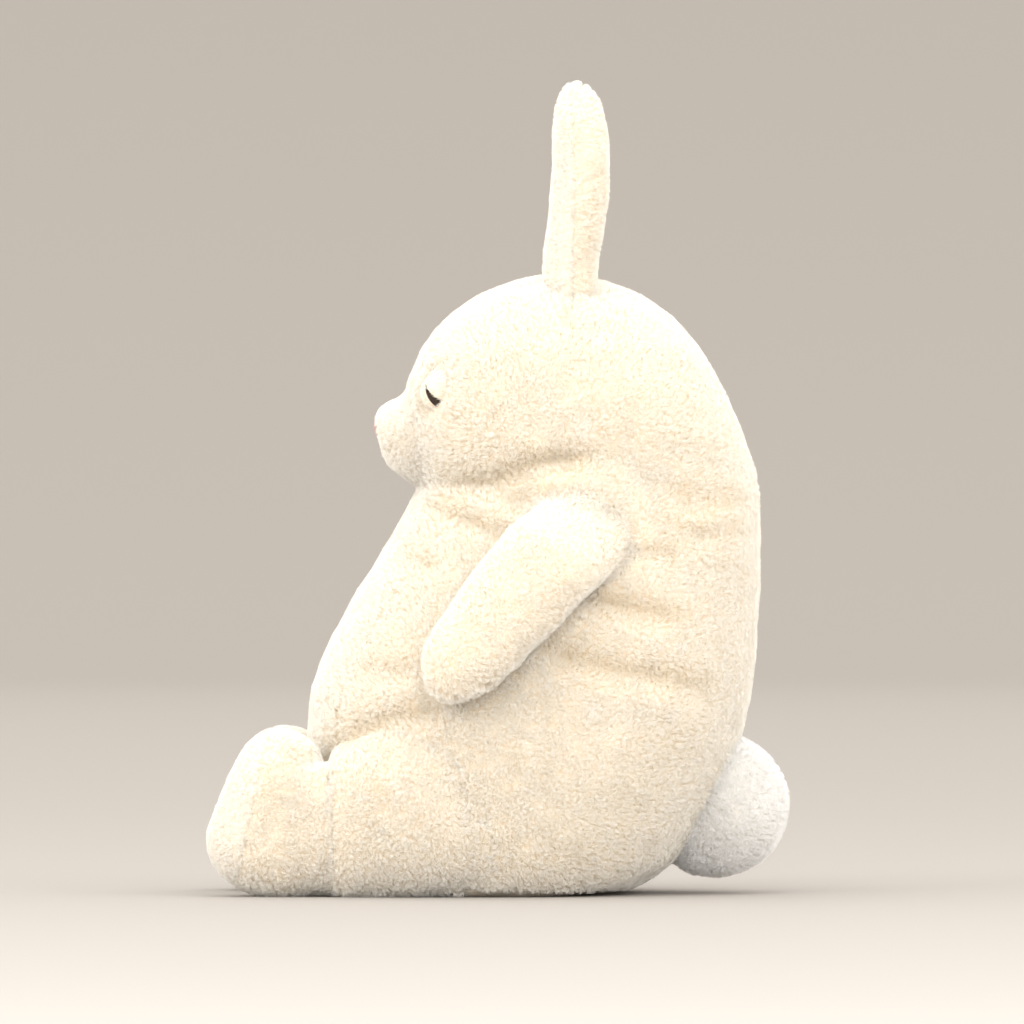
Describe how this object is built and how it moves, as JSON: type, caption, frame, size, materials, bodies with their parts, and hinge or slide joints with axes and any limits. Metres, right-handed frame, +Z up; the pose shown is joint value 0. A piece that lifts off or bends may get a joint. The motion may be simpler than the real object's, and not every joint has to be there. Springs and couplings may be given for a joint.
{
  "type": "stuffed rabbit",
  "caption": "Seated plush rabbit in cream pile fabric, with upright ears, hanging arms, upright feet and a ball tail that hinge at their seams.",
  "frame": {"origin": "centre line of the flat base at floor level, midway between the foot soles and the tail", "axes": "+Z up, -Y the way the rabbit faces, +X the rabbit's left"},
  "size_m": [0.2984, 0.3203, 0.455],
  "materials": {
    "cream_pile": "short curly pile",
    "pale_pile": "shorter smoother pile",
    "tail_pile": "fluffy pile",
    "lid_fabric": "short pile",
    "wadding": "loose polyester fibre",
    "pouch_cotton": "plain weave",
    "pellets": "round pellets",
    "eye_plastic": "polished",
    "washer_plastic": "moulded",
    "nose_thread": "satin stitch",
    "closing_thread": "twisted thread"
  },
  "bodies": {
    "body": {"side_panel_left": "cream_pile", "side_panel_right": "cream_pile", "crown_gusset": "cream_pile", "belly_panel": "cream_pile", "base_panel": "cream_pile", "muzzle_panel": "cream_pile", "body_stuffing": "wadding", "head_stuffing": "wadding", "muzzle_stuffing": "wadding", "pellet_pouch_top": "pouch_cotton", "pellet_pouch_bottom": "pouch_cotton", "pellet_fill": "pellets", "leg_panel_left": "cream_pile", "leg_panel_right": "cream_pile", "leg_stuffing_left": "wadding", "leg_stuffing_right": "wadding", "eye_left": "eye_plastic", "eye_right": "eye_plastic", "eye_washer_left": "washer_plastic", "eye_washer_right": "washer_plastic", "eyelid_left": "lid_fabric", "eyelid_right": "lid_fabric", "nose_embroidery": "nose_thread", "mouth_stitches": "nose_thread", "closing_stitches": "closing_thread"},
    "ear_left": {"ear_back_left": "cream_pile", "ear_lining_left": "pale_pile", "ear_wadding_left": "wadding"},
    "arm_left": {"arm_outer_left": "cream_pile", "arm_inner_left": "cream_pile", "arm_stuffing_left": "wadding"},
    "foot_left": {"foot_upper_left": "cream_pile", "foot_sole_left": "pale_pile", "foot_stuffing_left": "wadding"},
    "ear_right": {"ear_back_right": "cream_pile", "ear_lining_right": "pale_pile", "ear_wadding_right": "wadding"},
    "arm_right": {"arm_outer_right": "cream_pile", "arm_inner_right": "cream_pile", "arm_stuffing_right": "wadding"},
    "foot_right": {"foot_upper_right": "cream_pile", "foot_sole_right": "pale_pile", "foot_stuffing_right": "wadding"},
    "tail": {"tail_half_left": "tail_pile", "tail_half_right": "tail_pile", "tail_stuffing": "wadding"}
  },
  "joints": [
    {"name": "ear_flop_left", "type": "hinge", "parent": "body", "child": "ear_left", "pos_m": [0.03, 0.04, 0.341], "axis": [0.9728, 0.2079, -0.1022], "range_deg": [-32, 30]},
    {"name": "arm_swing_left", "type": "hinge", "parent": "body", "child": "arm_left", "pos_m": [0.08845, 0.05, 0.205], "axis": [-0.9511, 0, -0.309], "range_deg": [-45, 35]},
    {"name": "foot_tilt_left", "type": "hinge", "parent": "body", "child": "foot_left", "pos_m": [0.068, -0.11, 0.036], "axis": [1, 0, 0], "range_deg": [-7, 7]},
    {"name": "ear_flop_right", "type": "hinge", "parent": "body", "child": "ear_right", "pos_m": [-0.03, 0.04, 0.341], "axis": [0.9728, -0.2079, 0.1022], "range_deg": [-32, 30]},
    {"name": "arm_swing_right", "type": "hinge", "parent": "body", "child": "arm_right", "pos_m": [-0.08845, 0.05, 0.205], "axis": [-0.9511, 0, 0.309], "range_deg": [-45, 35]},
    {"name": "foot_tilt_right", "type": "hinge", "parent": "body", "child": "foot_right", "pos_m": [-0.068, -0.11, 0.036], "axis": [1, 0, 0], "range_deg": [-7, 7]},
    {"name": "tail_wag", "type": "hinge", "parent": "body", "child": "tail", "pos_m": [0, 0.11, 0.05], "axis": [0, 0, 1], "range_deg": [-12, 12]}
  ]
}
